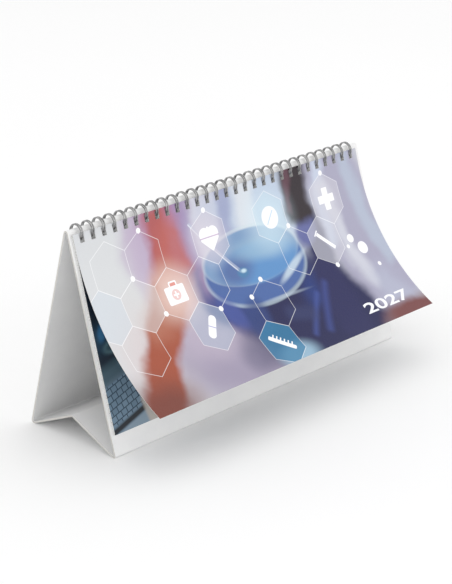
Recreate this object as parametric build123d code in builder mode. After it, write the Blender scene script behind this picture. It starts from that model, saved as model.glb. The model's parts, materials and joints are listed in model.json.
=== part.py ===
"""Flip desk calendar: a folded card tent, a twin-loop wire binding and thirteen punched leaves.

Millimetres. +X runs along the ridge, the leaves face -Y and +Z is up. The origin is the middle of
the flat under the front foot, on the table.
"""

import math
import os

from build123d import *

os.makedirs("parts", exist_ok=True)

# Card stand
stand_width = 255.0
panel_length = 131.3  # ridge axis to foot axis
lean_angle = 15.5  # each panel, from upright
crease_height = 14.9  # crease axis above the table
card_thickness = 1.0
fold_radius = 1.3  # middle of the card, round the ridge and the feet
crease_radius = 0.7  # middle of the card, round the raised crease
foot_flat_depth = 0.15  # how far the rounded feet are pressed flat
fold_clearance = 0.05  # between a fold and the panel that turns against it
flap_length = 12.5  # punched strip behind the ridge, where the back panel starts

# Wire binding
loop_pitch = 8.467  # three loops to the inch
loop_room = 0.55  # between the cover and the wire, where the loop is widest
loop_drop = 0.8  # loop centre below the ridge axis
wire_diameter = 0.9
twin_spacing = 1.4  # between the two wires of one loop
root_corner_radius = 0.8  # where a loop turns into the bar behind the ridge
bar_clearance = 0.33  # between the loops' roots and the back of the stand
closure_gap = 0.42  # between the closed tips and the bar
pad_shift = -0.9  # the binding and its leaves sit a little left of the stand's middle

# Punching
hole_side_room = 0.45  # beside the twin wires
hole_room_above = 0.55  # above the wire in the cover, the outermost sheet
hole_room_below = 1.08  # below the wire in the card, for the folding flap
hole_end_room = 3.5  # least distance from the last hole to a leaf's edge

# Leaves
leaf_count = 12
leaf_side_margin = 2.8  # card that shows beside the leaves
leaf_bottom_margin = 11.7  # from the leaves' bottom edge to the front foot's axis
leaf_top = 1.2  # top edge below the ridge axis, along the panel
leaf_thickness = 0.1
leaf_gap = 0.02
cover_gap = 0.1
cover_thickness = 0.15
cover_flat_length = 9.0  # the part through which the loops pass
curl_angle = 46.0  # how far the cover's bottom edge has turned outwards

# Places that follow from the sizes above
outer_radius = fold_radius + card_thickness / 2
foot_height = outer_radius - foot_flat_depth
half_depth = panel_length * math.sin(math.radians(lean_angle))
ridge_height = foot_height + panel_length * math.cos(math.radians(lean_angle))
front_foot = Vector(0, foot_height)
rear_foot = Vector(2 * half_depth, foot_height)
ridge = Vector(half_depth, ridge_height)
crease = Vector(half_depth, crease_height)
base_half_length = (crease - front_foot).length
base_rise_angle = math.degrees(math.asin((crease_height - foot_height) / base_half_length))
base_slope = base_rise_angle + math.degrees(
    math.asin((fold_radius + crease_radius) / base_half_length)
)
front_normal_angle = 180 - lean_angle
back_normal_angle = lean_angle
leaf_width = stand_width - 2 * leaf_side_margin
leaf_height = panel_length - leaf_top - leaf_bottom_margin


def leaf_offset(number: int) -> float:
    """Distance from the ridge axis to the back face of a leaf, counted from the front."""
    return outer_radius + leaf_gap + (leaf_count - number) * (leaf_thickness + leaf_gap)


cover_offset = leaf_offset(1) + leaf_thickness + cover_gap
pack_front = cover_offset + cover_thickness
centre_depth = loop_drop * math.sin(math.radians(lean_angle))  # loop centre behind the ridge axis
centre_down = loop_drop * math.cos(math.radians(lean_angle))  # and along the panel
loop_radius = pack_front + loop_room + wire_diameter / 2 + centre_depth  # middle of the wire
bar_depth = outer_radius + bar_clearance + wire_diameter / 2 + centre_depth
root_end_angle = back_normal_angle - math.degrees(math.acos(bar_depth / loop_radius))
closure_chord = root_corner_radius + twin_spacing / 2 + wire_diameter + closure_gap
tip_end_angle = root_end_angle + math.degrees(2 * math.asin(closure_chord / 2 / loop_radius))


def crossing(radius: float, depth: float) -> float:
    """How far below the ridge axis a circle about the loop centre crosses a sheet."""
    return centre_down + math.sqrt(radius**2 - (depth + centre_depth) ** 2)


hole_width = twin_spacing + wire_diameter + 2 * hole_side_room
hole_top = crossing(loop_radius - wire_diameter / 2, pack_front) - hole_room_above
hole_bottom = hole_room_below + crossing(
    loop_radius + wire_diameter / 2, fold_radius - card_thickness / 2
)
loop_count = 1 + int((leaf_width - hole_width - 2 * hole_end_room) / loop_pitch)


def ray(angle: float) -> Vector:
    """Unit vector in the (Y, Z) section, its angle measured from +Y towards +Z."""
    return Vector(math.cos(math.radians(angle)), math.sin(math.radians(angle)))


def panel_plane(normal_angle: float, x_direction: float) -> Plane:
    """Plane through the ridge axis, along a panel: local y runs up the panel, z outwards."""
    normal = ray(normal_angle)
    return Plane(
        origin=(0, ridge.X, ridge.Y),
        x_dir=(x_direction, 0, 0),
        z_dir=(0, normal.X, normal.Y),
    )


front_plane = panel_plane(front_normal_angle, 1)
back_plane = panel_plane(back_normal_angle, -1)


def strip_section(start: Vector, end: Vector) -> None:
    """Section of a straight card strip whose middle runs from start to end."""
    along = (end - start).normalized()
    half = Vector(-along.Y, along.X) * (card_thickness / 2)
    Polygon(*[(p.X, p.Y) for p in (start + half, end + half, end - half, start - half)], align=None)


def fold_section(centre: Vector, radius: float, start_angle: float, arc_size: float) -> None:
    """Section of a rounded fold of the card: a sector of a ring about the fold's axis."""
    inner = radius - card_thickness / 2
    outer = radius + card_thickness / 2
    end_angle = start_angle + arc_size
    with BuildLine() as outline:
        CenterArc((centre.X, centre.Y), outer, start_angle, arc_size)
        CenterArc((centre.X, centre.Y), inner, start_angle, arc_size)
        for angle in (start_angle, end_angle):
            near = centre + ray(angle) * inner
            far = centre + ray(angle) * outer
            Line((near.X, near.Y), (far.X, far.Y))
    make_face(outline.edges())


def trim_section_below(height: float) -> None:
    """Cut a section off below a height, which leaves a flat to stand on."""
    with Locations((half_depth, height)):
        Rectangle(4 * half_depth, panel_length, align=(Align.CENTER, Align.MAX), mode=Mode.SUBTRACT)


def punch(plane: Plane, middle: float, reach: float) -> None:
    """Cut the row of square holes through a sheet that lies within reach of a panel's plane."""
    with BuildSketch(plane) as holes:
        with Locations((middle, -(hole_top + hole_bottom) / 2)):
            with GridLocations(loop_pitch, 1, loop_count, 1):
                Rectangle(hole_width, hole_bottom - hole_top)
    extrude(holes.sketch, amount=reach, mode=Mode.SUBTRACT)


# Front panel of the stand, punched near the ridge
front_out = ray(front_normal_angle) * fold_radius
with BuildPart() as front_panel:
    with BuildSketch(Plane.YZ):
        strip_section(ridge + front_out, front_foot + front_out)
    extrude(amount=stand_width / 2, both=True)
    punch(front_plane, pad_shift, 2 * outer_radius)

# Rounded ridge, one piece with the front panel
with BuildPart() as ridge_fold:
    with BuildSketch(Plane.YZ):
        fold_section(ridge, fold_radius, back_normal_angle, front_normal_angle - back_normal_angle)
    extrude(amount=stand_width / 2, both=True)

# Front foot, pressed flat where it meets the table
front_foot_end_angle = 270 + base_slope
with BuildPart() as front_foot_fold:
    with BuildSketch(Plane.YZ):
        fold_section(
            front_foot, fold_radius, front_normal_angle, front_foot_end_angle - front_normal_angle
        )
        trim_section_below(0)
    extrude(amount=stand_width / 2, both=True)

# Front half of the base, from the front foot up to the crease
front_half_start = front_foot + ray(base_slope - 90) * fold_radius
front_half_end = crease + ray(base_slope + 90) * crease_radius
front_half_shift = ray(base_slope) * fold_clearance
with BuildPart() as base_front:
    with BuildSketch(Plane.YZ):
        strip_section(front_half_start + front_half_shift, front_half_end)
    extrude(amount=stand_width / 2, both=True)

# Raised crease across the middle of the base
with BuildPart() as base_crease:
    with BuildSketch(Plane.YZ):
        fold_section(crease, crease_radius, 90 - base_slope, 2 * base_slope)
    extrude(amount=stand_width / 2, both=True)

# Rear half of the base, from the crease down to the rear foot
rear_half_start = crease + ray(90 - base_slope) * crease_radius
rear_half_end = rear_foot + ray(270 - base_slope) * fold_radius
rear_half_shift = ray(-base_slope) * fold_clearance
with BuildPart() as base_rear:
    with BuildSketch(Plane.YZ):
        strip_section(rear_half_start + rear_half_shift, rear_half_end - rear_half_shift)
    extrude(amount=stand_width / 2, both=True)

# Rear foot
with BuildPart() as rear_foot_fold:
    with BuildSketch(Plane.YZ):
        fold_section(
            rear_foot,
            fold_radius,
            270 - base_slope,
            90 + base_slope + back_normal_angle,
        )
        trim_section_below(0)
    extrude(amount=stand_width / 2, both=True)

# Back panel, from below the punched flap down to the rear foot
back_out = ray(back_normal_angle) * fold_radius
back_down = ray(back_normal_angle - 90)
with BuildPart() as back_panel:
    with BuildSketch(Plane.YZ):
        strip_section(
            ridge + back_out + back_down * (flap_length + fold_clearance), rear_foot + back_out
        )
    extrude(amount=stand_width / 2, both=True)

# Punched flap behind the ridge, which the loops hold
with BuildPart() as ridge_flap:
    with BuildSketch(Plane.YZ):
        strip_section(
            ridge + back_out + back_down * fold_clearance, ridge + back_out + back_down * flap_length
        )
    extrude(amount=stand_width / 2, both=True)
    punch(back_plane, -pad_shift, 2 * outer_radius)

# Twin-loop wire: one wire that runs round each loop, back beside itself and on to the next
loop_centre = ridge - Vector(0, loop_drop)


def wire_point(x: float, angle: float, beyond: float = 0.0) -> Vector:
    """Point on a loop at an angle, moved beyond it along the loop's tangent."""
    place = loop_centre + ray(angle) * loop_radius + ray(angle + 90) * beyond
    return Vector(x, place.X, place.Y)


def loop_path() -> None:
    """Middle line of one double loop, from bar to bar, about x = 0."""
    half_twin = twin_spacing / 2
    half_pitch = loop_pitch / 2
    bar = half_twin + root_corner_radius
    side = root_corner_radius * math.sin(math.radians(45))
    root = root_end_angle + 360
    for sign in (-1, 1):
        bar_end = wire_point(sign * bar, root, root_corner_radius)
        corner = wire_point(sign * (bar - side), root, side)
        ring_end = wire_point(sign * half_twin, root)
        Line(wire_point(sign * half_pitch, root, root_corner_radius), bar_end)
        ThreePointArc(bar_end, corner, ring_end)
        middle_angle = (root + tip_end_angle) / 2
        ThreePointArc(
            ring_end,
            wire_point(sign * half_twin, middle_angle),
            wire_point(sign * half_twin, tip_end_angle),
        )
    ThreePointArc(
        wire_point(-half_twin, tip_end_angle),
        wire_point(0, tip_end_angle, -half_twin),
        wire_point(half_twin, tip_end_angle),
    )


with BuildPart() as one_loop:
    with BuildLine() as loop_line:
        loop_path()
    with BuildSketch(Plane(origin=loop_line.line @ 0, z_dir=loop_line.line % 0)):
        Circle(wire_diameter / 2)
    sweep(path=loop_line.line)

with BuildPart() as wire_binding:
    with Locations((pad_shift, 0, 0)):
        with GridLocations(loop_pitch, 1, loop_count, 1):
            add(one_loop.part)


# Month leaves, leaf_01 in front and leaf_12 against the stand
leaves = {}
for number in range(1, leaf_count + 1):
    with BuildPart() as leaf:
        with BuildSketch(front_plane.offset(leaf_offset(number))):
            with Locations((pad_shift, -leaf_top)):
                Rectangle(leaf_width, leaf_height, align=(Align.CENTER, Align.MAX))
        extrude(amount=leaf_thickness)
        punch(front_plane, pad_shift, 2 * leaf_offset(number))
    leaves[f"leaf_{number:02d}"] = leaf

# Cover, flat through the loops and curled outwards below them
front_down = ray(front_normal_angle + 90)
front_normal = ray(front_normal_angle)
curl_radius = (leaf_height - cover_flat_length) / math.radians(curl_angle)
curl_start = ridge + front_down * (leaf_top + cover_flat_length) + front_normal * cover_offset
curl_centre = curl_start + front_normal * curl_radius
curl_start_angle = front_normal_angle + 180
curl_end = ray(curl_start_angle - curl_angle)
cover_top = ridge + front_down * leaf_top + front_normal * cover_offset
with BuildPart() as cover_leaf:
    with BuildSketch(Plane.YZ.offset(pad_shift)):
        with BuildLine():
            for depth in (0.0, cover_thickness):
                top = cover_top + front_normal * depth
                knee = curl_start + front_normal * depth
                Line((top.X, top.Y), (knee.X, knee.Y))
                CenterArc(
                    (curl_centre.X, curl_centre.Y),
                    curl_radius - depth,
                    curl_start_angle,
                    -curl_angle,
                )
            top_front = cover_top + front_normal * cover_thickness
            Line((cover_top.X, cover_top.Y), (top_front.X, top_front.Y))
            tail_back = curl_centre + curl_end * curl_radius
            tail_front = curl_centre + curl_end * (curl_radius - cover_thickness)
            Line((tail_back.X, tail_back.Y), (tail_front.X, tail_front.Y))
        make_face()
    extrude(amount=leaf_width / 2, both=True)
    punch(front_plane, pad_shift, 2 * cover_offset)

pieces = {
    "front_panel": front_panel,
    "ridge_fold": ridge_fold,
    "front_foot_fold": front_foot_fold,
    "base_front": base_front,
    "base_crease": base_crease,
    "base_rear": base_rear,
    "rear_foot_fold": rear_foot_fold,
    "back_panel": back_panel,
    "ridge_flap": ridge_flap,
    "wire_binding": wire_binding,
    "cover_leaf": cover_leaf,
    **leaves,
}
for name, piece in pieces.items():
    piece.part.label = name
    export_step(piece.part, f"parts/{name}.step")
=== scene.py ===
"""Flip desk calendar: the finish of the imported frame, its folds, its wire and its printed sheets.

Places are in metres in the frame's own axes: +X runs along the ridge, the sheets face -Y and +Z is up.
Sizes that belong to a sheet are in millimetres, from its top left corner across and down.
"""

import json
import logging
import math
from dataclasses import dataclass, field
from enum import Enum

import bpy
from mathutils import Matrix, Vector


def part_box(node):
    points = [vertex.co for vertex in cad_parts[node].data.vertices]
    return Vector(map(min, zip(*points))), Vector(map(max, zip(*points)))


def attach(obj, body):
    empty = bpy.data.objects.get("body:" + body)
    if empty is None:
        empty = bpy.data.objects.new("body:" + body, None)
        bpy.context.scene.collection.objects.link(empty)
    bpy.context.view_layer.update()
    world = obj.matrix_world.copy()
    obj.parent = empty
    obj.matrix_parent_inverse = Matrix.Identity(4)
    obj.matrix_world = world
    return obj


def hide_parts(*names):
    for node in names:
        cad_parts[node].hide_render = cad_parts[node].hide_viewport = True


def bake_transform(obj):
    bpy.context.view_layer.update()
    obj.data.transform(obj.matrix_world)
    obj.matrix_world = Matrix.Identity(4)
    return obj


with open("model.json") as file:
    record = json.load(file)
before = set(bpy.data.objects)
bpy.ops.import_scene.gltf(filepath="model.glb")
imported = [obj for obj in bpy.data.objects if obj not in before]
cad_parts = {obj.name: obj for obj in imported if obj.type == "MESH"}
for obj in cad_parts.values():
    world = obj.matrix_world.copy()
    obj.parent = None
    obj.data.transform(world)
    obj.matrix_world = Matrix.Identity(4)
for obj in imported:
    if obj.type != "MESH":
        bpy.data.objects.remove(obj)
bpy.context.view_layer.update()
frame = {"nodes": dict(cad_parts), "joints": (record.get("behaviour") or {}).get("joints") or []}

MM = 0.001
MERGE = 0.01 * MM
LOG = logging.getLogger("calendar")

Colour = tuple[float, float, float]
Pair = tuple[float, float]
Socket = bpy.types.NodeSocket
Piece = bpy.types.Object


def ink(red: int, green: int, blue: int) -> Colour:
    """Turn a colour as a printer mixes it, 0 to 255, into the light that a shader works in.

    Args:
        red: Red share.
        green: Green share.
        blue: Blue share.

    Returns:
        The three linear values.
    """
    shares = (share / 255 for share in (red, green, blue))
    return tuple(s / 12.92 if s <= 0.04045 else ((s + 0.055) / 1.055) ** 2.4 for s in shares)


def section_ray(angle: float) -> Vector:
    """Unit vector in the Y-Z section, its angle in degrees from +Y towards +Z."""
    return Vector((0.0, math.cos(math.radians(angle)), math.sin(math.radians(angle))))


def joint_place(name: str) -> Vector:
    """Place of a joint of the frame at rest."""
    return Vector(next(j["pos_m"] for j in frame["joints"] if j["name"] == name))


@dataclass(frozen=True)
class Layout:
    """The places that every sub-assembly shares, read from the frame."""

    ridge: Vector = field(default_factory=lambda: joint_place("ridge_turn"))
    front_foot: Vector = field(default_factory=lambda: joint_place("stand_fold"))
    rear_foot: Vector = field(default_factory=lambda: joint_place("rear_foot_turn"))
    crease: Vector = field(default_factory=lambda: joint_place("crease_turn"))
    loop_centre: Vector = field(default_factory=lambda: joint_place("page_fan"))

    @property
    def lean(self) -> float:
        """Angle in degrees between the front panel and upright."""
        along = self.ridge - self.front_foot
        return math.degrees(math.atan2(along.y, along.z))

    @property
    def outward(self) -> Vector:
        """Unit vector out of the front panel."""
        return section_ray(180 - self.lean)

    @property
    def downward(self) -> Vector:
        """Unit vector down the front panel."""
        return section_ray(270 - self.lean)

    @property
    def leaf_left(self) -> float:
        """Left edge of the leaves along X."""
        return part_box("leaf_01")[0].x

    @property
    def leaf_width(self) -> float:
        """Width of the leaves in millimetres."""
        low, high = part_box("leaf_01")
        return (high.x - low.x) / MM


class Bench:
    """Small ways to work a mesh by hand, each with nothing else selected."""

    @staticmethod
    def clear() -> None:
        """Leave edit mode and deselect everything."""
        if bpy.context.object and bpy.context.object.mode != "OBJECT":
            bpy.ops.object.mode_set(mode="OBJECT")
        bpy.ops.object.select_all(action="DESELECT")

    @staticmethod
    def name(label: str) -> Piece:
        """Name the active object and its mesh.

        Args:
            label: The piece's name.

        Returns:
            The active object.
        """
        piece = bpy.context.object
        piece.name = label
        piece.data.name = label
        return piece

    @staticmethod
    def pick(piece: Piece) -> None:
        """Make a piece the active one, with nothing else selected."""
        Bench.clear()
        bpy.context.view_layer.objects.active = piece
        piece.select_set(True)

    @staticmethod
    def edit(piece: Piece) -> None:
        """Open a piece in edit mode with all of it selected."""
        Bench.pick(piece)
        bpy.ops.object.mode_set(mode="EDIT")
        bpy.ops.mesh.select_all(action="SELECT")

    @staticmethod
    def settle(piece: Piece) -> None:
        """Apply a piece's place, turn and size, so that they are in its mesh."""
        Bench.pick(piece)
        bpy.ops.object.transform_apply(location=True, rotation=True, scale=True)

    @staticmethod
    def spin(steps: int, angle: float, centre: Vector, axis: Vector) -> None:
        """Sweep the selection round an axis by the right-hand rule.

        Args:
            steps: Number of steps.
            angle: Turn in radians.
            centre: A point on the axis.
            axis: Direction of the axis.
        """
        bpy.ops.mesh.spin(steps=steps, angle=-angle, center=centre, axis=axis)

    @staticmethod
    def close(piece: Piece, smooth_angle: float) -> None:
        """Merge doubles, fill open ends, turn the faces outwards and smooth the gentle edges.

        Args:
            piece: The mesh to finish.
            smooth_angle: Edges under this many degrees are shaded smooth.
        """
        Bench.edit(piece)
        bpy.ops.mesh.remove_doubles(threshold=MERGE)
        bpy.ops.mesh.select_all(action="SELECT")
        bpy.ops.mesh.fill_holes(sides=0)
        bpy.ops.mesh.select_all(action="SELECT")
        bpy.ops.mesh.normals_make_consistent(inside=False)
        bpy.ops.object.mode_set(mode="OBJECT")
        bpy.ops.object.shade_smooth_by_angle(angle=math.radians(smooth_angle))

    @staticmethod
    def apply(piece: Piece, modifier: bpy.types.Modifier) -> None:
        """Apply one modifier of a piece."""
        Bench.pick(piece)
        bpy.ops.object.modifier_apply(modifier=modifier.name)

    @staticmethod
    def repeat(piece: Piece, count: int, pitch: float, joined: bool = False) -> None:
        """Repeat a mesh in a row along X.

        Args:
            piece: The mesh to repeat.
            count: How many there are in the row.
            pitch: Distance from one to the next.
            joined: Whether the ends of neighbours are merged.
        """
        row = piece.modifiers.new("row", "ARRAY")
        row.count = count
        row.use_relative_offset = False
        row.use_constant_offset = True
        row.constant_offset_displace = (pitch, 0, 0)
        row.use_merge_vertices = joined
        row.merge_threshold = MERGE
        Bench.apply(piece, row)


# ---------------------------------------------------------------------------------------------
# Shader graphs


class Graph:
    """A node tree with short ways to add and join its nodes."""

    def __init__(self, tree: bpy.types.NodeTree) -> None:
        """Work on a tree.

        Args:
            tree: The material's or group's node tree.
        """
        self.tree = tree

    def node(self, kind: str, inputs: dict | None = None, **settings) -> bpy.types.Node:
        """Add a node.

        Args:
            kind: The node's type without its ShaderNode prefix.
            inputs: Values or sockets by input name or number.
            **settings: The node's own settings.

        Returns:
            The new node.
        """
        made = self.tree.nodes.new(f"ShaderNode{kind}")
        for name, value in settings.items():
            setattr(made, name, value)
        for key, value in (inputs or {}).items():
            self.feed(made.inputs[key], value)
        return made

    def feed(self, socket: Socket, value) -> None:
        """Join a socket to an input, or set the input's own value."""
        if isinstance(value, bpy.types.NodeSocket):
            self.tree.links.new(value, socket)
        elif isinstance(value, tuple) and len(value) == 3 and socket.type == "RGBA":
            socket.default_value = (*value, 1.0)
        else:
            socket.default_value = value

    def math(self, operation: str, *values) -> Socket:
        """Result of a Math node over one to three values."""
        return self.node("Math", dict(enumerate(values)), operation=operation).outputs[0]

    def vector(self, operation: str, *values) -> Socket:
        """Vector result of a Vector Math node."""
        return self.node("VectorMath", dict(enumerate(values)), operation=operation).outputs[0]

    def step(self, value: Socket, low, high) -> Socket:
        """Smooth step of a value from 0 at low to 1 at high."""
        inputs = {"Value": value, "From Min": low, "From Max": high}
        return self.node("MapRange", inputs, interpolation_type="SMOOTHSTEP").outputs[0]

    def mix(self, mask, under, over) -> Socket:
        """Lay one colour over another through a mask."""
        made = self.node("Mix", data_type="RGBA")
        self.feed(made.inputs[0], mask)
        self.feed(made.inputs[6], under)
        self.feed(made.inputs[7], over)
        return made.outputs[2]

    def noise(self, place: Socket, scale: float, detail: float = 2.0) -> Socket:
        """Soft noise between 0 and 1 over a place."""
        return self.node("TexNoise", {"Vector": place, "Scale": scale, "Detail": detail}).outputs[0]

    def group(self, name: str, inputs: dict) -> bpy.types.Node:
        """Place a shared effect, building it the first time.

        Args:
            name: One of the names in EFFECTS.
            inputs: Values or sockets by input name.

        Returns:
            The group node.
        """
        made = self.tree.nodes.new("ShaderNodeGroup")
        made.node_tree = bpy.data.node_groups.get(name) or EFFECTS[name](name)
        for key, value in inputs.items():
            self.feed(made.inputs[key], value)
        return made


class Effect:
    """A node group under construction."""

    def __init__(self, name: str, inputs: dict[str, str], outputs: dict[str, str]) -> None:
        """Open a new group.

        Args:
            name: The group's name.
            inputs: Socket kinds by input name: Float, Vector or Color.
            outputs: Socket kinds by output name.
        """
        self.tree = bpy.data.node_groups.new(name, "ShaderNodeTree")
        for direction, sockets in (("INPUT", inputs), ("OUTPUT", outputs)):
            for label, kind in sockets.items():
                self.tree.interface.new_socket(
                    name=label, in_out=direction, socket_type=f"NodeSocket{kind}"
                )
        self.graph = Graph(self.tree)
        self.inputs = self.tree.nodes.new("NodeGroupInput").outputs
        self.outputs = self.tree.nodes.new("NodeGroupOutput").inputs

    def give(self, label: str, socket: Socket) -> None:
        """Join a socket to an output of the group."""
        self.tree.links.new(socket, self.outputs[label])


def turned_place(effect: Effect) -> Socket:
    """A group's Place, counted from its Centre and turned by its Turn."""
    graph, given = effect.graph, effect.inputs
    moved = graph.vector("SUBTRACT", given["Place"], given["Centre"])
    turn = graph.math("MULTIPLY", given["Turn"], -1.0)
    return graph.node(
        "VectorRotate", {"Vector": moved, "Angle": turn}, rotation_type="Z_AXIS"
    ).outputs[0]


def build_spot(name: str) -> bpy.types.NodeTree:
    """Effect: an ellipse with a soft edge."""
    kinds = {"Place": "Vector", "Centre": "Vector", "Radii": "Vector", "Turn": "Float", "Soft": "Float"}
    effect = Effect(name, kinds, {"Mask": "Float"})
    graph, given = effect.graph, effect.inputs
    shape = graph.vector("DIVIDE", turned_place(effect), given["Radii"])
    flat = graph.vector("MULTIPLY", shape, (1.0, 1.0, 0.0))
    distance = graph.node("VectorMath", {0: flat}, operation="LENGTH").outputs["Value"]
    high = graph.math("ADD", 1.0, given["Soft"])
    low = graph.math("SUBTRACT", 1.0, given["Soft"])
    effect.give("Mask", graph.math("SUBTRACT", 1.0, graph.step(distance, low, high)))
    return effect.tree


def build_bar(name: str) -> bpy.types.NodeTree:
    """Effect: a rectangle with round corners and a soft edge."""
    kinds = {"Place": "Vector", "Centre": "Vector", "Half": "Vector", "Turn": "Float"}
    effect = Effect(name, {**kinds, "Round": "Float", "Soft": "Float"}, {"Mask": "Float"})
    graph, given = effect.graph, effect.inputs
    folded = graph.vector("ABSOLUTE", turned_place(effect))
    corner = graph.vector("SUBTRACT", given["Half"], given["Round"])
    over = graph.vector("SUBTRACT", folded, corner)
    outside = graph.vector("MULTIPLY", graph.vector("MAXIMUM", over, (0.0, 0.0, 0.0)), (1.0, 1.0, 0.0))
    distance = graph.node("VectorMath", {0: outside}, operation="LENGTH").outputs["Value"]
    parts = graph.node("SeparateXYZ", {0: over})
    inside = graph.math("MINIMUM", graph.math("MAXIMUM", parts.outputs[0], parts.outputs[1]), 0.0)
    edge = graph.math("SUBTRACT", graph.math("ADD", distance, inside), given["Round"])
    low = graph.math("MULTIPLY", given["Soft"], -1.0)
    effect.give("Mask", graph.math("SUBTRACT", 1.0, graph.step(edge, low, given["Soft"])))
    return effect.tree


def build_cell(name: str) -> bpy.types.NodeTree:
    """Effect: one upright six-sided cell, as a fill and as an outline."""
    kinds = {"Place": "Vector", "Centre": "Vector", "Half": "Vector", "Line": "Float"}
    effect = Effect(name, kinds, {"Fill": "Float", "Outline": "Float"})
    graph, given = effect.graph, effect.inputs
    moved = graph.vector("SUBTRACT", given["Place"], given["Centre"])
    shape = graph.vector("ABSOLUTE", graph.vector("DIVIDE", moved, given["Half"]))
    parts = graph.node("SeparateXYZ", {0: shape})
    slope = graph.math("MULTIPLY_ADD", parts.outputs[0], 0.5, parts.outputs[1])
    reach = graph.math("MAXIMUM", parts.outputs[0], slope)
    low = graph.math("SUBTRACT", 1.0, given["Line"])
    high = graph.math("ADD", 1.0, given["Line"])
    inside = graph.math("SUBTRACT", 1.0, graph.step(reach, low, 1.0))
    within = graph.math("SUBTRACT", 1.0, graph.step(reach, 1.0, high))
    effect.give("Fill", inside)
    effect.give("Outline", graph.math("SUBTRACT", within, inside))
    return effect.tree


def build_tooth(name: str) -> bpy.types.NodeTree:
    """Effect: paper's tooth, as cloudy formation, fine fibres and their height."""
    effect = Effect(name, {"Place": "Vector"}, {"Cloud": "Float", "Fibre": "Float", "Height": "Float"})
    graph, given = effect.graph, effect.inputs
    cloud = graph.noise(given["Place"], 0.09, 4.0)
    stretched = graph.vector("MULTIPLY", given["Place"], (0.35, 1.6, 1.6))
    fibre = graph.noise(stretched, 2.2, 5.0)
    speck = graph.noise(given["Place"], 5.5, 3.0)
    effect.give("Cloud", cloud)
    effect.give("Fibre", fibre)
    effect.give("Height", graph.math("MULTIPLY_ADD", fibre, 0.6, graph.math("MULTIPLY", speck, 0.4)))
    return effect.tree


EFFECTS = {
    "soft_spot": build_spot,
    "soft_bar": build_bar,
    "hex_cell": build_cell,
    "paper_tooth": build_tooth,
}


# ---------------------------------------------------------------------------------------------
# Finishes


class Finish:
    """A material with a Principled shader, and the graph that colours it."""

    def start(self, name: str) -> tuple[bpy.types.Material, Graph, bpy.types.Node]:
        """Make the material.

        Args:
            name: The material's name.

        Returns:
            The material, its graph and its Principled shader.
        """
        material = bpy.data.materials.new(name)
        material.use_nodes = True
        graph = Graph(material.node_tree)
        return material, graph, material.node_tree.nodes["Principled BSDF"]

    @staticmethod
    def millimetres(graph: Graph) -> Socket:
        """Object coordinates in millimetres."""
        place = graph.node("TexCoord").outputs["Object"]
        return graph.node("VectorMath", {0: place, "Scale": 1 / MM}, operation="SCALE").outputs[0]

    @staticmethod
    def tooth(
        graph: Graph, shader: bpy.types.Node, place: Socket, rough: Pair, depth: float
    ) -> bpy.types.Node:
        """Give a shader the roughness and relief of paper.

        Args:
            graph: The material's graph.
            shader: Its Principled shader.
            place: Coordinates in millimetres.
            rough: Roughness of the smoothest and of the roughest spots.
            depth: Strength of the relief.

        Returns:
            The paper_tooth group node.
        """
        tooth = graph.group("paper_tooth", {"Place": place})
        spread = {"Value": tooth.outputs["Fibre"], "To Min": rough[0], "To Max": rough[1]}
        graph.feed(shader.inputs["Roughness"], graph.node("MapRange", spread).outputs[0])
        relief = {"Height": tooth.outputs["Height"], "Strength": depth, "Distance": 0.05 * MM}
        graph.feed(shader.inputs["Normal"], graph.node("Bump", relief).outputs[0])
        return tooth


@dataclass(frozen=True)
class CardFinish(Finish):
    """White coated card, with a grey core at its cut ends and fine cracks in the coat at its folds."""

    coat: Colour = ink(238, 238, 237)
    shade: Colour = ink(229, 229, 230)
    core: Colour = ink(205, 203, 198)
    crack: Colour = ink(214, 212, 208)
    half_width: float = 127.5
    cut_band: Pair = (0.04, 0.01)
    cracked: bool = False

    def build(self) -> bpy.types.Material:
        """Build the material.

        Returns:
            The finished material.
        """
        material, graph, shader = self.start("fold_card" if self.cracked else "stand_card")
        place = self.millimetres(graph)
        tooth = self.tooth(graph, shader, place, (0.42, 0.6), 0.25)
        colour = graph.mix(tooth.outputs["Cloud"], self.coat, self.shade)
        fleck = graph.step(tooth.outputs["Fibre"], 0.62, 0.75)
        colour = graph.mix(graph.math("MULTIPLY", fleck, 0.35), colour, self.shade)
        if self.cracked:
            along = graph.vector("MULTIPLY", place, (0.12, 1.0, 1.0))
            crazing = graph.step(graph.noise(along, 3.0, 6.0), 0.6, 0.68)
            colour = graph.mix(graph.math("MULTIPLY", crazing, 0.5), colour, self.crack)
        across = graph.math("ABSOLUTE", graph.node("SeparateXYZ", {0: place}).outputs[0])
        cut = graph.step(across, *(self.half_width - inset for inset in self.cut_band))
        graph.feed(shader.inputs["Base Color"], graph.mix(cut, colour, self.core))
        shader.inputs["Specular IOR Level"].default_value = 0.35
        return material


@dataclass(frozen=True)
class WireFinish(Finish):
    """Nickel-plated binding wire, drawn along its length and dulled by handling."""

    bright: Colour = ink(178, 178, 178)
    dull: Colour = ink(130, 130, 131)

    def build(self) -> bpy.types.Material:
        """Build the material.

        Returns:
            The finished material.
        """
        material, graph, shader = self.start("binding_wire")
        place = self.millimetres(graph)
        haze = graph.noise(place, 0.35, 4.0)
        drawn = graph.noise(graph.vector("MULTIPLY", place, (9.0, 0.8, 0.8)), 1.5, 3.0)
        plating = graph.mix(graph.step(haze, 0.35, 0.7), self.bright, self.dull)
        graph.feed(shader.inputs["Base Color"], plating)
        spread = {"Value": drawn, "To Min": 0.16, "To Max": 0.36}
        graph.feed(shader.inputs["Roughness"], graph.node("MapRange", spread).outputs[0])
        relief = {"Height": drawn, "Strength": 0.15, "Distance": 0.02 * MM}
        graph.feed(shader.inputs["Normal"], graph.node("Bump", relief).outputs[0])
        shader.inputs["Metallic"].default_value = 1.0
        return material


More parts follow.
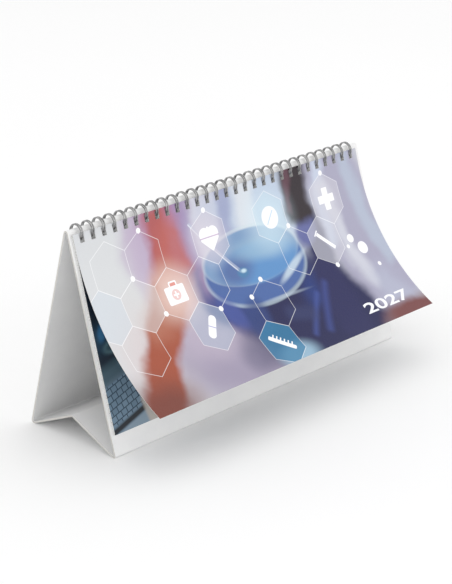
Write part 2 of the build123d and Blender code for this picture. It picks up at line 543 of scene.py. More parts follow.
@dataclass(frozen=True)
class Spot:
    """A soft ellipse of ink: centre and radii in millimetres, turn in degrees."""

    centre: Pair
    radii: Pair
    colour: Colour
    turn: float = 0.0
    soft: float = 0.4
    strength: float = 1.0

    def mask(self, graph: Graph, place: Socket) -> Socket:
        """Where the ink lies."""
        inputs = {
            "Place": place,
            "Centre": (*self.centre, 0.0),
            "Radii": (*self.radii, 1.0),
            "Turn": math.radians(self.turn),
            "Soft": self.soft,
        }
        return graph.group("soft_spot", inputs).outputs["Mask"]


@dataclass(frozen=True)
class Bar:
    """A soft rectangle of ink: centre and half sizes in millimetres, turn in degrees."""

    centre: Pair
    half: Pair
    colour: Colour
    turn: float = 0.0
    corner: float = 0.0
    soft: float = 0.12
    strength: float = 1.0

    def mask(self, graph: Graph, place: Socket) -> Socket:
        """Where the ink lies."""
        inputs = {
            "Place": place,
            "Centre": (*self.centre, 0.0),
            "Half": (*self.half, 1.0),
            "Turn": math.radians(self.turn),
            "Round": self.corner,
            "Soft": self.soft,
        }
        return graph.group("soft_bar", inputs).outputs["Mask"]


Layer = Spot | Bar


def lay_all(graph: Graph, colour, place: Socket, layers: tuple[Layer, ...]) -> Socket:
    """Lay a stack of inks over a colour.

    Args:
        graph: The material's graph.
        colour: What lies beneath.
        place: Sheet coordinates in millimetres.
        layers: The inks, lowest first.

    Returns:
        The colour of the printed sheet.
    """
    for layer in layers:
        mask = layer.mask(graph, place)
        if layer.strength < 1.0:
            mask = graph.math("MULTIPLY", mask, layer.strength)
        colour = graph.mix(mask, colour, layer.colour)
    return colour


WHITE = ink(250, 250, 252)


@dataclass(frozen=True)
class CellGrid:
    """The six-sided cells over the cover's picture, in offset rows."""

    origin: Pair = (48.5, 26.0)
    pitch: Pair = (27.1, 25.8)
    half: Pair = (13.55, 17.1)
    line: float = 0.022

    def centre(self, column: int, row: int) -> Pair:
        """Centre of a cell in millimetres."""
        shift = -0.5 if row % 2 else 0.0
        across = self.origin[0] + self.pitch[0] * (column + shift)
        return across, self.origin[1] + self.pitch[1] * row

    def corner(self, column: int, row: int, right: bool = False) -> Pair:
        """Top corner of a cell, or its upper right one."""
        across, down = self.centre(column, row)
        if right:
            return across + self.half[0], down - self.half[1] / 2
        return across, down - self.half[1]

    def lay(self, graph: Graph, colour: Socket, place: Socket, cells: dict) -> Socket:
        """Draw the cells over a colour.

        Args:
            graph: The material's graph.
            colour: What lies beneath.
            place: Sheet coordinates in millimetres.
            cells: Fill colour and strength by column and row.

        Returns:
            The colour with the cells on it.
        """
        lines = None
        for (column, row), (tint, strength) in cells.items():
            inputs = {
                "Place": place,
                "Centre": (*self.centre(column, row), 0.0),
                "Half": (*self.half, 1.0),
                "Line": self.line,
            }
            cell = graph.group("hex_cell", inputs)
            if strength:
                fill = graph.math("MULTIPLY", cell.outputs["Fill"], strength)
                colour = graph.mix(fill, colour, tint)
            outline = cell.outputs["Outline"]
            lines = outline if lines is None else graph.math("MAXIMUM", lines, outline)
        return graph.mix(graph.math("MULTIPLY", lines, 0.72), colour, WHITE)


class CoverPicture:
    """The inks of the cover: a blurred laboratory still life in general shapes."""

    paper: Colour = ink(205, 208, 212)

    clouds: tuple[Layer, ...] = (
        Spot((16, 52), (34, 60), ink(212, 214, 216), soft=0.7),
        Spot((30, 84), (26, 30), ink(213, 204, 205), soft=0.7),
        Spot((84, 98), (50, 44), ink(158, 149, 172), soft=0.5),
        Spot((70, 78), (22, 22), ink(186, 174, 192), soft=0.6, strength=0.8),
        Spot((64, 18), (26, 34), ink(172, 148, 182), turn=10, soft=0.5),
        Spot((44, 26), (9, 26), ink(190, 176, 198), turn=6, soft=0.5, strength=0.7),
        Spot((68, 4), (15, 12), ink(170, 106, 140), soft=0.6, strength=0.7),
        Bar((61, 22), (8, 24), ink(172, 84, 84), turn=4, corner=6, soft=5.5),
        Spot((72, 26), (13, 17), ink(184, 92, 84), turn=-12, soft=0.5, strength=0.85),
        Spot((60, 46), (14, 14), ink(196, 142, 126), soft=0.6, strength=0.8),
        Bar((27, 90), (52, 12), ink(162, 78, 52), turn=-52, corner=4, soft=4),
        Spot((8, 117), (26, 20), ink(112, 56, 46), soft=0.6, strength=0.85),
        Spot((44, 60), (12, 18), ink(196, 140, 118), turn=36, soft=0.6, strength=0.45),
        Bar((104, 18), (12, 30), ink(206, 204, 216), turn=4, corner=6, soft=6),
        Bar((86, 20), (6, 26), ink(150, 132, 176), turn=-8, corner=5, soft=5, strength=0.7),
        Spot((150, 22), (50, 30), ink(184, 196, 216), soft=0.5),
        Bar((119, 12), (5, 24), ink(140, 146, 186), turn=6, corner=4, soft=4, strength=0.7),
        Bar((138, 12), (9, 22), ink(214, 219, 226), turn=2, corner=5, soft=5),
        Spot((92, 66), (12, 26), ink(90, 86, 142), turn=-28, soft=0.4),
        Spot((91, 50), (8, 9), ink(170, 146, 176), soft=0.6, strength=0.75),
        Spot((132, 68), (50, 24), ink(48, 66, 130), soft=0.25),
        Spot((164, 97), (64, 36), ink(14, 18, 74), soft=0.3),
        Spot((168, 78), (14, 9), ink(26, 56, 128), turn=-30, soft=0.6, strength=0.7),
        Bar((186, 76), (13, 44), ink(24, 26, 82), turn=14, corner=8, soft=6),
        Spot((184, 40), (8, 14), ink(96, 102, 156), turn=34, soft=0.35),
        Bar((185, 15), (13, 21), ink(34, 20, 30), turn=3, corner=5, soft=3.5),
        Bar((177, 10), (2.5, 20), ink(98, 60, 74), turn=4, corner=2, soft=2.2, strength=0.8),
        Bar((228, 50), (27, 58), ink(166, 164, 186), turn=-7, corner=8, soft=6),
        Bar((206, 22), (5, 34), ink(196, 204, 222), turn=7, corner=5, soft=4),
        Bar((214, 52), (5, 40), ink(210, 212, 222), turn=-8, corner=4, soft=4.5, strength=0.8),
        Bar((240, 30), (6, 50), ink(178, 188, 206), turn=-8, corner=4, soft=4.5, strength=0.8),
        Spot((232, 102), (14, 22), ink(180, 184, 204), turn=-14, soft=0.6, strength=0.7),
        Spot((240, 119), (36, 13), ink(118, 64, 64), soft=0.35),
    )

    dish: tuple[Layer, ...] = (
        Spot((131, 53), (44.5, 25), ink(196, 214, 226), soft=0.03, strength=0.55),
        Spot((131, 52), (43, 23.4), ink(70, 100, 160), soft=0.045),
        Spot((131, 44), (42.4, 18.5), ink(204, 216, 222), soft=0.03, strength=0.5),
        Spot((131, 45), (41, 17.4), ink(120, 152, 190), soft=0.05),
        Spot((136, 50), (34, 12.5), ink(90, 142, 196), soft=0.16),
        Spot((114, 50), (14, 9), ink(78, 96, 150), turn=-8, soft=0.6, strength=0.8),
        Spot((142, 42), (24, 7), ink(150, 184, 208), turn=4, soft=0.6, strength=0.7),
        Spot((160, 60), (15, 2.4), ink(206, 222, 232), turn=-26, soft=0.5, strength=0.75),
        Spot((142, 75.6), (18, 1.1), ink(176, 190, 206), turn=2, soft=0.6, strength=0.55),
    )

    sparkle: tuple[Layer, ...] = (
        Bar((103, 33), (24, 1.2), ink(186, 194, 214), turn=52, corner=1.0, soft=0.4, strength=0.6),
        Bar((102.4, 33.4), (24, 0.35), ink(240, 244, 250), turn=52, corner=0.3, soft=0.3, strength=0.7),
        Spot((119, 53), (4.6, 3.2), ink(70, 128, 170), soft=0.4, strength=0.8),
        Spot((120, 52), (2.2, 1.2), ink(206, 230, 240), soft=0.6, strength=0.9),
        Bar((168, 92), (20, 2.2), ink(58, 76, 150), turn=-56, corner=2, soft=3, strength=0.6),
        Bar((156, 94), (18, 1.6), ink(64, 84, 160), turn=-48, corner=1.5, soft=2.4, strength=0.6),
        Bar((146, 90), (12, 5), ink(46, 56, 104), turn=18, corner=4, soft=4, strength=0.6),
        Spot((112, 84), (9, 14), ink(40, 62, 122), turn=20, soft=0.45, strength=0.8),
        Spot((92, 106), (10, 12), ink(104, 100, 128), turn=16, soft=0.6, strength=0.6),
        Spot((96, 74), (6, 13), ink(70, 86, 160), turn=-24, soft=0.4, strength=0.6),
        Spot((122, 115), (15, 9), ink(156, 190, 212), soft=0.5, strength=0.9),
        Spot((61.8, 52), (14, 14), ink(244, 226, 218), soft=0.9, strength=0.62),
        Spot((155, 26), (17, 17), ink(214, 236, 246), soft=0.8, strength=0.55),
        Spot((101, 27), (12, 12), ink(236, 226, 236), soft=0.9, strength=0.45),
    )

    cells: dict = {
        (-1, 0): (WHITE, 0.0),
        (0, 0): (WHITE, 0.0),
        (2, 0): (ink(204, 196, 208), 0.4),
        (4, 0): (ink(196, 220, 232), 0.35),
        (6, 0): (ink(206, 204, 214), 0.5),
        (-1, 1): (ink(206, 214, 222), 0.6),
        (0, 1): (ink(212, 212, 212), 0.4),
        (1, 1): (ink(230, 200, 190), 0.3),
        (2, 1): (WHITE, 0.0),
        (5, 1): (WHITE, 0.0),
        (6, 1): (ink(206, 206, 216), 0.5),
        (-1, 2): (WHITE, 0.0),
        (1, 2): (ink(172, 186, 206), 0.5),
        (3, 2): (WHITE, 0.0),
        (3, 3): (ink(42, 122, 164), 0.8),
    }

    @staticmethod
    def signs(grid: CellGrid) -> tuple[Layer, ...]:
        """The plain white signs in some of the cells, and the dots at cell corners.

        Args:
            grid: Where the cells are.

        Returns:
            The layers of white ink.
        """
        plus = grid.centre(6, 0)
        disc = grid.centre(4, 0)
        heart = grid.centre(2, 0)
        case = grid.centre(1, 1)
        pill = grid.centre(1, 2)
        comb = grid.centre(3, 3)
        probe = grid.centre(6, 1)
        rose = ink(226, 150, 140)
        made: list[Layer] = [
            Bar(plus, (7.4, 2.6), WHITE, corner=0.5),
            Bar(plus, (2.6, 7.4), WHITE, corner=0.5),
            Spot(disc, (7.2, 7.2), WHITE, soft=0.04),
            Bar(disc, (5.4, 0.35), ink(176, 212, 240), turn=-48, strength=0.8),
            Spot((heart[0] - 3.6, heart[1] - 2.2), (4.5, 4.5), WHITE, soft=0.05),
            Spot((heart[0] + 3.6, heart[1] - 2.2), (4.5, 4.5), WHITE, soft=0.05),
            Bar((heart[0], heart[1] + 0.7), (5.6, 5.6), WHITE, turn=45, corner=0.8),
            Bar((heart[0], heart[1] - 0.4), (8.2, 0.35), ink(190, 160, 196), strength=0.8),
            Bar((case[0], case[1] - 6.2), (3.2, 2.4), WHITE, corner=1.0),
            Bar((case[0], case[1] - 5.7), (2.2, 1.9), rose, corner=0.6),
            Bar(case, (7.8, 5.6), WHITE, corner=1.2),
            Spot(case, (3.4, 3.4), rose, soft=0.06, strength=0.55),
            Bar(case, (2.2, 0.6), WHITE, corner=0.2),
            Bar(case, (0.6, 2.2), WHITE, corner=0.2),
            Bar(pill, (8.0, 2.7), WHITE, turn=-56, corner=2.6),
            Bar(pill, (0.3, 2.7), ink(170, 170, 214), turn=-56),
            Bar(comb, (9.6, 1.5), WHITE, turn=42, corner=0.8),
            Bar(probe, (8.4, 1.3), WHITE, turn=46, corner=0.5),
            Bar((probe[0] - 6.3, probe[1] - 6.6), (0.5, 2.4), WHITE, turn=46, corner=0.3),
            Spot((219.5, 55.6), (2.9, 2.9), WHITE, soft=0.08),
            Spot((226.5, 64), (4.3, 4.3), WHITE, soft=0.06),
            Spot((214.5, 60.2), (1.4, 1.4), WHITE, soft=0.12),
            Spot((233, 78), (1.5, 1.5), WHITE, soft=0.12),
        ]
        slope, tick_pitch, tick_rise = 42, 2.6, 2.2
        turn = math.radians(slope)
        for tick in range(6):
            reach = tick_pitch * (tick - 2.5)
            across = comb[0] + reach * math.cos(turn) + tick_rise * math.sin(turn)
            down = comb[1] + reach * math.sin(turn) - tick_rise * math.cos(turn)
            made.append(Bar((across, down), (0.45, 1.5), WHITE, turn=slope, corner=0.2))
        tops = ((0, 0), (0, 1), (0, 2), (3, 2), (5, 1), (2, 0), (6, 0))
        shoulders = ((2, 2), (5, 2), (1, 2))
        knots = [grid.corner(*cell) for cell in tops]
        knots += [grid.corner(*cell, right=True) for cell in shoulders]
        return (*made, *(Spot(knot, (1.7, 1.7), WHITE, soft=0.1) for knot in knots))


class Side(Enum):
    """The faces of a sheet."""

    FRONT = 0
    BACK = 1
    EDGE = 2


@dataclass(frozen=True)
class CoverFinish(Finish):
    """Satin cover paper, printed on its front."""

    width: float
    height: float
    grid: CellGrid = CellGrid()

    def sheet_place(self, graph: Graph) -> Socket:
        """Sheet coordinates in millimetres, from the piece's own UV map."""
        chart = graph.node("UVMap", uv_map="sheet").outputs[0]
        size, start = (self.width, -self.height, 0.0), (0.0, self.height, 0.0)
        return graph.vector("MULTIPLY_ADD", chart, size, start)

    def build(self) -> bpy.types.Material:
        """Build the printed front.

        Returns:
            The finished material.
        """
        material, graph, shader = self.start("cover_print")
        place = self.sheet_place(graph)
        drift = graph.node("TexNoise", {"Vector": place, "Scale": 0.035, "Detail": 3.0}).outputs["Color"]
        drift = graph.vector("SUBTRACT", drift, (0.5, 0.5, 0.5))
        drift = graph.vector("MULTIPLY", drift, (16.0, 16.0, 0.0))
        loose = graph.vector("ADD", place, drift)
        picture = CoverPicture
        colour = lay_all(graph, picture.paper, loose, picture.clouds)
        colour = lay_all(graph, colour, place, picture.dish + picture.sparkle)
        colour = self.grid.lay(graph, colour, place, picture.cells)
        colour = lay_all(graph, colour, place, picture.signs(self.grid))
        tooth = self.tooth(graph, shader, place, (0.34, 0.5), 0.12)
        grain = graph.step(tooth.outputs["Fibre"], 0.3, 0.8)
        colour = graph.mix(graph.math("MULTIPLY", grain, 0.06), colour, ink(150, 148, 150))
        graph.feed(shader.inputs["Base Color"], colour)
        shader.inputs["Specular IOR Level"].default_value = 0.4
        return material

    def build_plain(self, name: str, tint: Colour, shade: Colour) -> bpy.types.Material:
        """Build the unprinted paper of the back or the cut edges.

        Args:
            name: The material's name.
            tint: Colour of the paper.
            shade: Colour of its thicker clouds.

        Returns:
            The finished material.
        """
        material, graph, shader = self.start(name)
        place = self.millimetres(graph)
        tooth = self.tooth(graph, shader, place, (0.5, 0.65), 0.2)
        graph.feed(shader.inputs["Base Color"], graph.mix(tooth.outputs["Cloud"], tint, shade))
        return material


@dataclass(frozen=True)
class MonthFinish(Finish):
    """A month leaf: a dark desk picture on the left, a ruled date panel on the right."""

    layout: Layout
    number: int
    deep: Colour
    mid: Colour
    panel: Pair = (172.0, 66.0)
    panel_half: Pair = (64.0, 40.0)
    days: int = 7
    weeks: int = 5

    def sheet_place(self, graph: Graph) -> Socket:
        """Sheet coordinates in millimetres, worked out from the leaf's own lean."""
        moved = graph.vector("SUBTRACT", self.millimetres(graph), tuple(self.layout.ridge / MM))
        lean = math.radians(90 - self.layout.lean)
        flat = graph.node("VectorRotate", {"Vector": moved, "Angle": -lean}, rotation_type="X_AXIS")
        start = (self.layout.leaf_left / MM, 0.0, 0.0)
        shifted = graph.vector("SUBTRACT", flat.outputs[0], start)
        return graph.vector("MULTIPLY", shifted, (1.0, -1.0, 0.0))

    def desk(self) -> tuple[Layer, ...]:
        """The blurred desk in the picture."""
        return (
            Spot((4, 40), (40, 46), self.deep, soft=0.5),
            Spot((10, 62), (16, 9), self.mid, turn=-12, soft=0.5, strength=0.8),
            Spot((6, 60), (3, 5), ink(54, 120, 168), turn=20, soft=0.6, strength=0.8),
            Spot((13, 69), (8, 4), ink(96, 132, 142), turn=-10, soft=0.4, strength=0.7),
            Spot((13, 69), (6, 2.4), ink(24, 52, 66), turn=-10, soft=0.4, strength=0.8),
            Bar((24, 96), (46, 19), ink(84, 106, 124), turn=-16, corner=2, soft=1.5),
            Bar((24, 78), (44, 5), ink(58, 84, 96), turn=-16, corner=2, soft=2.5, strength=0.8),
        )

    def near(self) -> tuple[Layer, ...]:
        """What lies in front of the keys."""
        return (
            Bar((22, 111.6), (40, 1.5), ink(8, 18, 30), turn=-17, soft=0.7),
            Bar((26, 119), (44, 6), ink(124, 144, 160), turn=-17, soft=0.8),
            Spot((46, 106), (16, 10), ink(38, 62, 78), turn=20, soft=0.4),
            Spot((44, 106), (9, 5), ink(116, 142, 152), turn=16, soft=0.3, strength=0.8),
            Spot((44, 106), (6.5, 3), ink(30, 62, 84), turn=16, soft=0.3, strength=0.9),
            Bar((31, 113), (4.5, 12), ink(176, 168, 160), turn=-14, corner=4, soft=1.6, strength=0.9),
        )

    def keys(self, graph: Graph, colour: Socket, place: Socket) -> Socket:
        """Rows of keys with dark gaps, running up to the right."""
        turned = {"Vector": place, "Angle": math.radians(16)}
        rows = graph.node("VectorRotate", turned, rotation_type="Z_AXIS").outputs[0]
        wall = {
            "Vector": rows,
            "Scale": 1.0,
            "Color1": ink(104, 130, 150),
            "Color2": ink(90, 116, 136),
            "Mortar": ink(24, 48, 68),
            "Mortar Size": 0.34,
            "Mortar Smooth": 0.3,
            "Brick Width": 4.4,
            "Row Height": 3.9,
        }
        keys = graph.node("TexBrick", wall, offset=0.35).outputs["Color"]
        block = Bar((20, 98), (36, 11.5), WHITE, turn=-16, corner=1.5, soft=0.6).mask(graph, place)
        return graph.mix(block, colour, keys)

    def dates(self, graph: Graph, colour: Socket, place: Socket) -> Socket:
        """A pale panel ruled for seven days across and five weeks down."""
        panel = Bar(self.panel, self.panel_half, WHITE, corner=1.5).mask(graph, place)
        colour = graph.mix(graph.math("MULTIPLY", panel, 0.86), colour, ink(240, 241, 243))
        parts = graph.node("SeparateXYZ", {0: place})
        for axis, count in enumerate((self.days, self.weeks)):
            start = self.panel[axis] - self.panel_half[axis]
            pitch = 2 * self.panel_half[axis] / count
            share = graph.math("DIVIDE", graph.math("SUBTRACT", parts.outputs[axis], start), pitch)
            near = graph.math("PINGPONG", share, 0.5)
            rule = graph.math("SUBTRACT", 1.0, graph.step(near, 0.006, 0.012))
            rule = graph.math("MULTIPLY", graph.math("MULTIPLY", rule, panel), 0.6)
            colour = graph.mix(rule, colour, self.mid)
        return colour

    def build(self) -> bpy.types.Material:
        """Build the material.

        Returns:
            The finished material.
        """
        material, graph, shader = self.start(f"month_print_{self.number:02d}")
        place = self.sheet_place(graph)
        parts = graph.node("SeparateXYZ", {0: place})
        wash = graph.step(graph.math("MULTIPLY_ADD", parts.outputs[0], 0.4, parts.outputs[1]), 20.0, 190.0)
        colour = graph.mix(wash, self.deep, self.mid)
        colour = lay_all(graph, colour, place, self.desk())
        colour = self.keys(graph, colour, place)
        colour = lay_all(graph, colour, place, self.near())
        colour = self.dates(graph, colour, place)
        tooth = self.tooth(graph, shader, self.millimetres(graph), (0.36, 0.52), 0.12)
        facing = graph.node("TexCoord").outputs["Normal"]
        front = tuple(self.layout.outward)
        towards = graph.node("VectorMath", {0: facing, 1: front}, operation="DOT_PRODUCT").outputs["Value"]
        bare = graph.mix(tooth.outputs["Cloud"], ink(236, 236, 234), ink(226, 226, 225))
        graph.feed(shader.inputs["Base Color"], graph.mix(graph.step(towards, 0.8, 0.9), bare, colour))
        shader.inputs["Specular IOR Level"].default_value = 0.4
        return material


# ---------------------------------------------------------------------------------------------
# Sub-assemblies


@dataclass
class Stand:
    """The card tent: CAD panels with a finish, and four smooth folds built where the joints stand at rest.
    """

    layout: Layout
    thickness: float = 1.0
    fold_radius: float = 1.3
    crease_radius: float = 0.7
    fold_steps: int = 18
    panels: tuple[str, ...] = ("front_panel", "back_panel", "base_front", "base_rear", "ridge_flap")

    @property
    def base_slope(self) -> float:
        """Slope in degrees of the base halves, which cross from under a foot to over the crease."""
        run = self.layout.crease - self.layout.front_foot
        rise = math.degrees(math.atan2(run.z, run.y))
        return rise + math.degrees(math.asin((self.fold_radius + self.crease_radius) * MM / run.length))

    def fold(self, name: str, axis: Vector, radius: float, start: float, arc: float) -> Piece:
        """Spin the card's end round a fold's axis.

        Args:
            name: The piece's name.
            axis: A point on the fold's axis.
            radius: Middle radius of the card in millimetres.
            start: Angle in degrees where the fold leaves its first panel.
            arc: How far it turns, in degrees.

        Returns:
            The fold as a closed solid.
        """
        low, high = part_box("front_panel")
        Bench.clear()
        bpy.ops.mesh.primitive_plane_add(
            size=1,
            location=axis + section_ray(start) * radius * MM,
            rotation=(math.radians(start), 0, 0),
        )
        piece = Bench.name(name)
        piece.scale = (high.x - low.x, self.thickness * MM, 1)
        Bench.settle(piece)
        Bench.edit(piece)
        bpy.ops.mesh.delete(type="ONLY_FACE")
        bpy.ops.mesh.select_all(action="SELECT")
        Bench.spin(self.fold_steps, math.radians(arc), axis, Vector((1, 0, 0)))
        Bench.close(piece, 35)
        return piece

    def flatten(self, piece: Piece) -> None:
        """Press a foot flat on the table."""
        Bench.edit(piece)
        bpy.ops.mesh.bisect(plane_co=(0, 0, 0), plane_no=(0, 0, 1), use_fill=True, clear_inner=True)
        bpy.ops.object.mode_set(mode="OBJECT")

    def build(self) -> list[Piece]:
        """Build the folds and dress the panels.

        Returns:
            The new pieces.
        """
        place = self.layout
        slope = self.base_slope
        front = 180 - place.lean
        feet = 90 + slope + place.lean
        card = CardFinish().build()
        worn = CardFinish(cracked=True).build()
        plans = (
            ("ridge_bend", "ridge_fold", place.ridge, self.fold_radius, place.lean, front - place.lean,
             ("ridge_flap_strip", "stand_front")),
            ("front_foot_bend", "front_foot_fold", place.front_foot, self.fold_radius, front, feet,
             ("stand_front", "base_front_half")),
            ("crease_bend", "base_crease", place.crease, self.crease_radius, 90 - slope, 2 * slope,
             ("base_rear_half", "base_front_half")),
            ("rear_foot_bend", "rear_foot_fold", place.rear_foot, self.fold_radius, 270 - slope, feet,
             ("base_rear_half", "stand_back")),
        )
        made = []
        for name, node, axis, radius, start, arc, bodies in plans:
            piece = self.fold(name, axis, radius, start, arc)
            if name.endswith("foot_bend"):
                self.flatten(piece)
            piece.data.materials.clear()
            piece.data.materials.append(worn)
            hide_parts(node)
            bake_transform(piece)
            made.append(piece)
        for panel in self.panels:
            dress(frame["nodes"][panel], card)
        return made


def dress(piece: Piece, material: bpy.types.Material) -> None:
    """Give a CAD node one finish all over."""
    if not piece.material_slots:
        piece.data.materials.append(material)
    for place in piece.material_slots:
        place.material = material


@dataclass
class WireBinding:
    """The twin-loop wire, spun as one line from bar to bar and repeated along the ridge."""

    layout: Layout
    count: int = 29
    pitch: float = 8.467
    radius: float = 4.704
    wire: float = 0.9
    twin: float = 1.4
    corner: float = 0.8
    root_angle: float = 321.93
    tip_angle: float = -3.18
    sides: int = 12
    ring_steps: int = 54
    turn_steps: int = 8

    def at(self, across: float, angle: float, beyond: float = 0.0) -> Vector:
        """Point on the loop's middle line, moved beyond it along the tangent."""
        place = self.layout.loop_centre + section_ray(angle) * self.radius * MM
        place = place + section_ray(angle + 90) * beyond * MM
        return Vector((self.first + across * MM, place.y, place.z))

    @property
    def first(self) -> float:
        """X of the leftmost loop's middle."""
        low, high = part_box("wire_binding")
        return (low.x + high.x) / 2 - (self.count - 1) * self.pitch * MM / 2

    def build(self) -> Piece:
        """Spin one double loop and array it.

        Returns:
            The whole binding.
        """
        half_twin = self.twin / 2
        bar_end = half_twin + self.corner
        run = (self.pitch / 2 - bar_end) * MM
        tangent = section_ray(self.root_angle + 90)
        tip_tangent = section_ray(self.tip_angle + 90)
        across = Vector((1, 0, 0))
        sweep = math.radians(self.root_angle - self.tip_angle)
        Bench.clear()
        bpy.ops.mesh.primitive_circle_add(
            vertices=self.sides,
            radius=self.wire * MM / 2,
            location=self.at(-self.pitch / 2, self.root_angle, self.corner),
            rotation=(0, math.pi / 2, 0),
        )
        piece = Bench.name("binding_wire")
        Bench.settle(piece)
        Bench.edit(piece)
        forward = {"TRANSFORM_OT_translate": {"value": (run, 0, 0)}}
        quarter = math.pi / 2, self.turn_steps // 2
        turns = (
            (self.at(-bar_end, self.root_angle), tangent.cross(across), *quarter),
            (self.layout.loop_centre, -across, sweep, self.ring_steps),
            (self.at(0, self.tip_angle), across.cross(tip_tangent), math.pi, self.turn_steps),
            (self.layout.loop_centre, across, sweep, self.ring_steps),
            (self.at(bar_end, self.root_angle), (-across).cross(tangent), *quarter),
        )
        bpy.ops.mesh.extrude_region_move(**forward)
        for centre, axis, angle, steps in turns:
            Bench.spin(steps, angle, centre, axis)
        bpy.ops.mesh.extrude_region_move(**forward)
        bpy.ops.object.mode_set(mode="OBJECT")
        Bench.repeat(piece, self.count, self.pitch * MM, joined=True)
        Bench.close(piece, 60)
        piece.data.materials.append(WireFinish().build())
        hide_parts("wire_binding")
        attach(piece, "stand_front")
        return piece


@dataclass
class Cover:
    """The curled cover: a punched sheet, printed on its front, and its year in white."""

    layout: Layout
    height: float = 118.4
    top: float = 1.2
    thickness: float = 0.15
    offset: float = 3.34
    flat_length: float = 9.0
    curl: float = 46.0
    hole: Pair = (3.2, 4.59)
    hole_drop: float = 4.61
    punch_depth: float = 4.0
    grid: tuple[int, int] = (40, 60)
    loops: int = 29
    pitch: float = 8.467
    year: str = "2027"
    year_place: Pair = (195.0, 108.2)
    year_width: float = 42.5
    year_height: float = 8.2
    year_stroke: float = 0.02
    ink_lift: float = 0.01
    ink_depth: float = 0.02

    def bend(self, across: float, down: float, proud: float) -> Vector:
        """Where a point of the flat sheet lies on the curled one.

        Args:
            across: Millimetres from the left edge.
            down: Millimetres from the top edge.
            proud: Millimetres out of the back face.

        Returns:
            The place in metres.
        """
        place = self.layout
        radius = (self.height - self.flat_length) / math.radians(self.curl)
        beyond = max(0.0, down - self.flat_length)
        turn = beyond / radius
        straight = self.top + min(down, self.flat_length)
        along = straight + (radius - proud) * math.sin(turn)
        out = self.offset + proud + (radius - proud) * (1 - math.cos(turn))
        point = place.ridge + (place.downward * along + place.outward * out) * MM
        return Vector((place.leaf_left + across * MM, point.y, point.z))

    def blank(self) -> Piece:
        """Cut and punch the flat sheet, in millimetres, with down along -Y."""
        width = self.layout.leaf_width
        Bench.clear()
        columns, rows = self.grid
        bpy.ops.mesh.primitive_grid_add(x_subdivisions=columns, y_subdivisions=rows, size=1)
        sheet = Bench.name("cover_sheet")
        sheet.scale = (width, self.height, 1)
        sheet.location = (width / 2, -self.height / 2, 0)
        Bench.settle(sheet)
        solid = sheet.modifiers.new("thickness", "SOLIDIFY")
        solid.thickness = self.thickness
        solid.offset = 1
        Bench.apply(sheet, solid)
        Bench.clear()
        first = width / 2 - (self.loops - 1) * self.pitch / 2
        bpy.ops.mesh.primitive_cube_add(size=1)
        punch = Bench.name("punch")
        punch.scale = (*self.hole, self.punch_depth)
        punch.location = (first, self.top - self.hole_drop, 0)
        Bench.settle(punch)
        Bench.repeat(punch, self.loops, self.pitch)
        cut = sheet.modifiers.new("punching", "BOOLEAN")
        cut.operation = "DIFFERENCE"
        cut.solver = "EXACT"
        cut.object = punch
        Bench.apply(sheet, cut)
        bpy.data.objects.remove(punch)
        return sheet

    def chart(self, sheet: Piece) -> None:
        """Give the flat sheet its UV map and its front, back and edge faces."""
        width = self.layout.leaf_width
        mesh = sheet.data
        for old in list(mesh.uv_layers):
            mesh.uv_layers.remove(old)
        layer = mesh.uv_layers.new(name="sheet")
        for corner in mesh.loops:
            point = mesh.vertices[corner.vertex_index].co
            layer.data[corner.index].uv = (point.x / width, 1 + point.y / self.height)
        for face in mesh.polygons:
            facing = face.normal.z
            side = Side.FRONT if facing > 0.5 else Side.BACK if facing < -0.5 else Side.EDGE
            face.material_index = side.value

    def numerals(self) -> Piece:
        """Set the year in flat white ink and lay it on the sheet."""
        Bench.clear()
        bpy.ops.object.text_add()
        text = bpy.context.object
        text.data.body = self.year
        text.data.offset = self.year_stroke
        text.data.extrude = self.ink_depth / 2
        bpy.ops.object.convert(target="MESH")
        piece = Bench.name("cover_year")
        low = Vector([min(v.co[i] for v in piece.data.vertices) for i in range(3)])
        high = Vector([max(v.co[i] for v in piece.data.vertices) for i in range(3)])
        size = high - low
        for vertex in piece.data.vertices:
            share = vertex.co - low
            across = self.year_place[0] + share.x / size.x * self.year_width
            down = self.year_place[1] - share.y / size.y * self.year_height
            proud = self.thickness + self.ink_lift + self.ink_depth * share.z / size.z
            vertex.co = self.bend(across, down, proud)
        return piece

    def build(self) -> list[Piece]:
        """Build the cover and its year.

        Returns:
            Both pieces.
        """
        sheet = self.blank()
        self.chart(sheet)
        for vertex in sheet.data.vertices:
            vertex.co = self.bend(vertex.co.x, -vertex.co.y, vertex.co.z)
        Bench.pick(sheet)
        bpy.ops.object.shade_smooth_by_angle(angle=math.radians(30))
        finish = CoverFinish(self.layout.leaf_width, self.height)
        backing = finish.build_plain("cover_back", ink(240, 240, 240), ink(230, 230, 231))
        edges = finish.build_plain("cover_edge", ink(244, 243, 240), ink(226, 225, 222))
        for material in (finish.build(), backing, edges):
            sheet.data.materials.append(material)
        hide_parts("cover_leaf")
        year = self.numerals()
        year.data.materials.clear()
        year.data.materials.append(finish.build_plain("year_ink", WHITE, ink(240, 242, 248)))
        for piece in (sheet, year):
            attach(piece, "cover")
        return [sheet, year]


@dataclass
class MonthLeaves:
    """The twelve month leaves, CAD sheets with a print each."""

    layout: Layout
    count: int = 12
    deep_hues: tuple[Colour, ...] = (ink(8, 26, 44), ink(16, 34, 40), ink(26, 24, 52))
    mid_hues: tuple[Colour, ...] = (ink(34, 66, 88), ink(40, 84, 88), ink(64, 60, 104))

    def build(self) -> None:
        """Dress every leaf."""
        for number in range(1, self.count + 1):
            deep = self.deep_hues[(number - 1) % len(self.deep_hues)]
            mid = self.mid_hues[(number - 1) % len(self.mid_hues)]
            finish = MonthFinish(self.layout, number, deep, mid)
            dress(frame["nodes"][f"leaf_{number:02d}"], finish.build())
            LOG.info("leaf %d dressed", number)


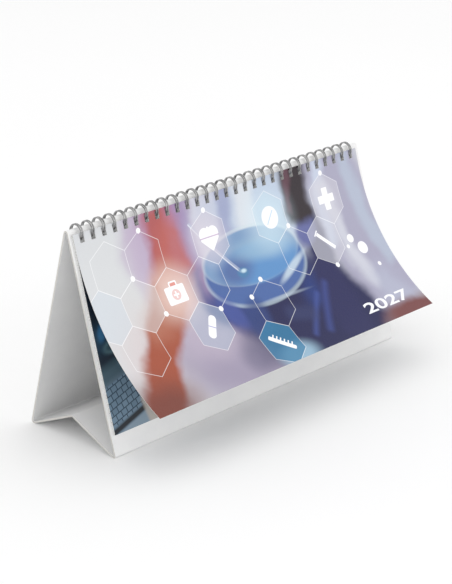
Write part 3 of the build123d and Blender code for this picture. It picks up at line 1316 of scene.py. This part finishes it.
@dataclass
class Studio:
    """The pale floor, the soft lights and the camera."""

    layout: Layout
    azimuth: float = -46.45
    elevation: float = 20.49
    distance: float = 1.0882
    lens: float = 106.56
    target: tuple[float, float, float] = (0.00368, 0.03509, 0.05778)
    sensor: float = 36.0
    nearest: float = 0.01
    floor_side: float = 12.0
    sky: float = 0.95
    lamps: tuple[tuple[str, tuple[float, float, float], float, float], ...] = (
        ("key", (0.7, -1.7, 0.8), 1.2, 5.0),
        ("fill", (-1.4, -1.0, 0.5), 1.0, 1.5),
        ("top", (0.2, 0.3, 1.9), 1.6, 3.0),
    )

    def camera(self) -> None:
        """Place the camera on its bearing round the target."""
        turn, rise = math.radians(self.azimuth), math.radians(self.elevation)
        level = Vector((math.sin(turn), -math.cos(turn), 0.0)) * math.cos(rise)
        back = level + Vector((0.0, 0.0, math.sin(rise)))
        data = bpy.data.cameras.new("camera")
        data.sensor_width = self.sensor
        data.lens = self.lens
        data.clip_start = self.nearest
        camera = bpy.data.objects.new("camera", data)
        camera.location = Vector(self.target) + back * self.distance
        camera.rotation_euler = (-back).to_track_quat("-Z", "Y").to_euler()
        bpy.context.scene.collection.objects.link(camera)
        bpy.context.scene.camera = camera

    def lamp(self, name: str, place: tuple[float, float, float], size: float, power: float) -> None:
        """Hang a square soft light that looks at the object.

        Args:
            name: The light's name.
            place: Where it hangs, in metres.
            size: Side of its square.
            power: Watts.
        """
        data = bpy.data.lights.new(name, "AREA")
        data.shape = "SQUARE"
        data.size = size
        data.energy = power
        lamp = bpy.data.objects.new(name, data)
        lamp.location = place
        aim = Vector(self.target) - Vector(place)
        lamp.rotation_euler = aim.to_track_quat("-Z", "Y").to_euler()
        bpy.context.scene.collection.objects.link(lamp)

    def floor(self) -> Piece:
        """Lay a wide pale floor with a faint mottle."""
        Bench.clear()
        bpy.ops.mesh.primitive_plane_add(size=self.floor_side)
        floor = Bench.name("floor")
        material = bpy.data.materials.new("floor")
        material.use_nodes = True
        graph = Graph(material.node_tree)
        shader = material.node_tree.nodes["Principled BSDF"]
        place = graph.node("TexCoord").outputs["Object"]
        mottle = graph.noise(place, 3.0)
        colour = graph.mix(mottle, (0.95, 0.95, 0.95), (0.965, 0.965, 0.965))
        graph.feed(shader.inputs["Base Color"], colour)
        shader.inputs["Roughness"].default_value = 0.9
        floor.data.materials.append(material)
        return floor

    def build(self) -> None:
        """Set up the whole studio."""
        scene = bpy.context.scene
        scene.view_settings.view_transform = "Standard"
        world = bpy.data.worlds.new("studio")
        world.use_nodes = True
        background = world.node_tree.nodes["Background"]
        background.inputs[0].default_value = (1.0, 1.0, 1.0, 1.0)
        background.inputs[1].default_value = self.sky
        scene.world = world
        self.floor()
        for lamp in self.lamps:
            self.lamp(*lamp)
        self.camera()


def main() -> None:
    """Build each sub-assembly and report its pieces."""
    logging.basicConfig(level=logging.INFO, format="%(name)s: %(message)s")
    layout = Layout()
    Studio(layout).build()
    made = Stand(layout).build()
    made.append(WireBinding(layout).build())
    made.extend(Cover(layout).build())
    for piece in made:
        LOG.info("%s: %d faces", piece.name, len(piece.data.polygons))
    MonthLeaves(layout).build()


if __name__ == "__main__":
    main()
